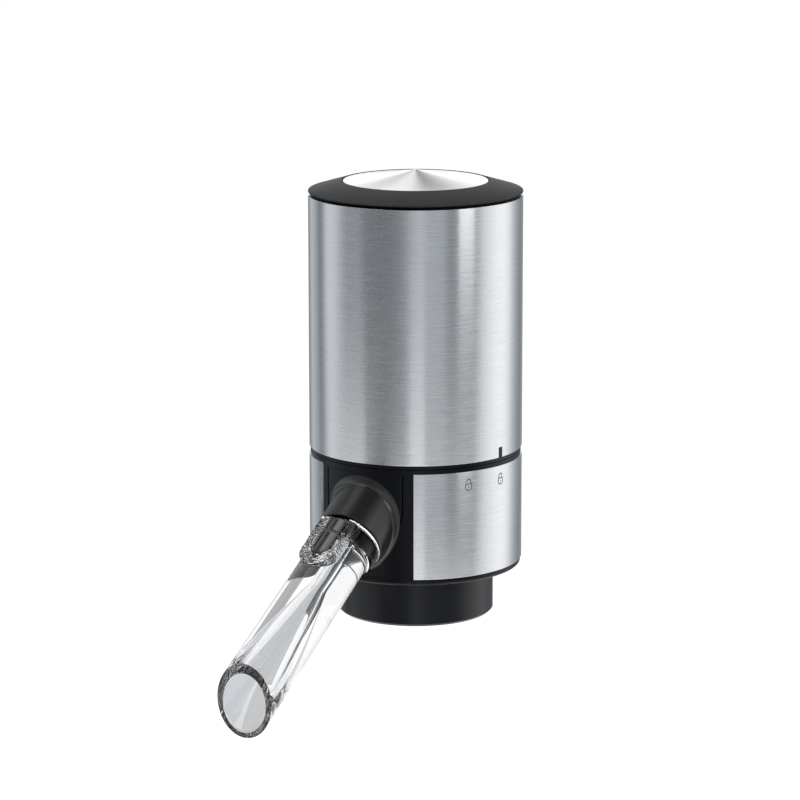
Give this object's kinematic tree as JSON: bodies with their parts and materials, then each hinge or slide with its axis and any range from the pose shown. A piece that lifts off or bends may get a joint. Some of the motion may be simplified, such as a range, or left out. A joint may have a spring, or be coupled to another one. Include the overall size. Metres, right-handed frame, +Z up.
{
  "type": "electric wine pourer",
  "caption": "Battery wine pourer for a bottle's neck: steel-clad motor head twist-locked on a pouring base, press button on top, clear sloping spout with a slanted mouth.",
  "frame": {"origin": "centre of the bottle socket's mouth, on the body's axis", "axes": "+Z up along the body's axis, away from the bottle; the spout points to -Y; +X is to the right seen from the spout's side"},
  "size_m": [0.055, 0.1088, 0.1306],
  "materials": {
    "brushed_steel": "fine horizontal brushing",
    "black_shell": "satin",
    "collar_black": "satin",
    "socket_black": "satin",
    "bezel_dark": "fine matte",
    "tab_black": "gloss",
    "inner_black": "matte",
    "carrier_grey": "matte",
    "spun_aluminium": "spun, with fine circular lines",
    "clear_spout": "polished clear",
    "silicone_dark": "soft matte",
    "silicone_pale": "soft matte",
    "screw_steel": "plated",
    "spring_steel": "drawn wire",
    "contact_metal": "nickel plated",
    "cell_jacket": "plain jacket, no marks",
    "board_green": "solder mask",
    "motor_steel": "rolled",
    "natural_plastic": "natural",
    "bush_bronze": "sintered",
    "ferrite": "matte",
    "winding_copper": "wound"
  },
  "bodies": {
    "base": {"base_plate": "black_shell", "bottle_collar": "collar_black", "neck_seal": "silicone_dark", "lower_housing": "black_shell", "lower_sleeve": "brushed_steel", "base_screws": "screw_steel", "wine_duct": "natural_plastic", "duct_gasket": "silicone_dark", "air_tube": "inner_black", "air_seal": "silicone_dark", "check_valve": "silicone_pale", "spout_socket": "socket_black"},
    "spout_unit": {"spout": "clear_spout", "spout_tab": "tab_black", "spout_oring": "silicone_dark"},
    "button": {"button_carrier": "tab_black", "button_disc": "spun_aluminium"},
    "rotor": {"motor_shaft": "screw_steel", "armature": "winding_copper", "eccentric_hub": "natural_plastic", "crank_pin": "screw_steel"},
    "head": {"upper_sleeve": "brushed_steel", "upper_liner": "black_shell", "bayonet_cap": "inner_black", "head_screws": "screw_steel", "top_bezel": "bezel_dark", "battery_carrier": "carrier_grey", "battery_cells": "cell_jacket", "contact_plates": "contact_metal", "contact_springs": "spring_steel", "control_board": "board_green", "press_switch": "inner_black", "spring_seat": "inner_black", "button_spring": "spring_steel", "pump_cover": "inner_black", "valve_plate": "natural_plastic", "diaphragm": "silicone_dark", "pump_case": "inner_black", "swing_plate": "natural_plastic", "motor_can": "motor_steel", "motor_cap": "natural_plastic", "shaft_bushes": "bush_bronze", "field_magnets": "ferrite"}
  },
  "joints": [
    {"name": "head_twist", "type": "hinge", "parent": "base", "child": "head", "pos_m": [0, 0, 0.0428], "axis": [0, 0, 1], "range_deg": [-22.5, 0]},
    {"name": "button_press", "type": "slide", "parent": "head", "child": "button", "axis": [0, 0, -1], "range_m": [0, 0.001], "stiffness_N_per_m": 800, "springref_m": -0.001, "deforming": ["button_spring"]},
    {"name": "motor_spin", "type": "hinge", "parent": "head", "child": "rotor", "pos_m": [0, 0, 0.08], "axis": [0, 0, 1], "continuous": true},
    {"name": "spout_pull", "type": "slide", "parent": "base", "child": "spout_unit", "axis": [0, -0.848, -0.5299], "range_m": [0, 0.03]}
  ]
}
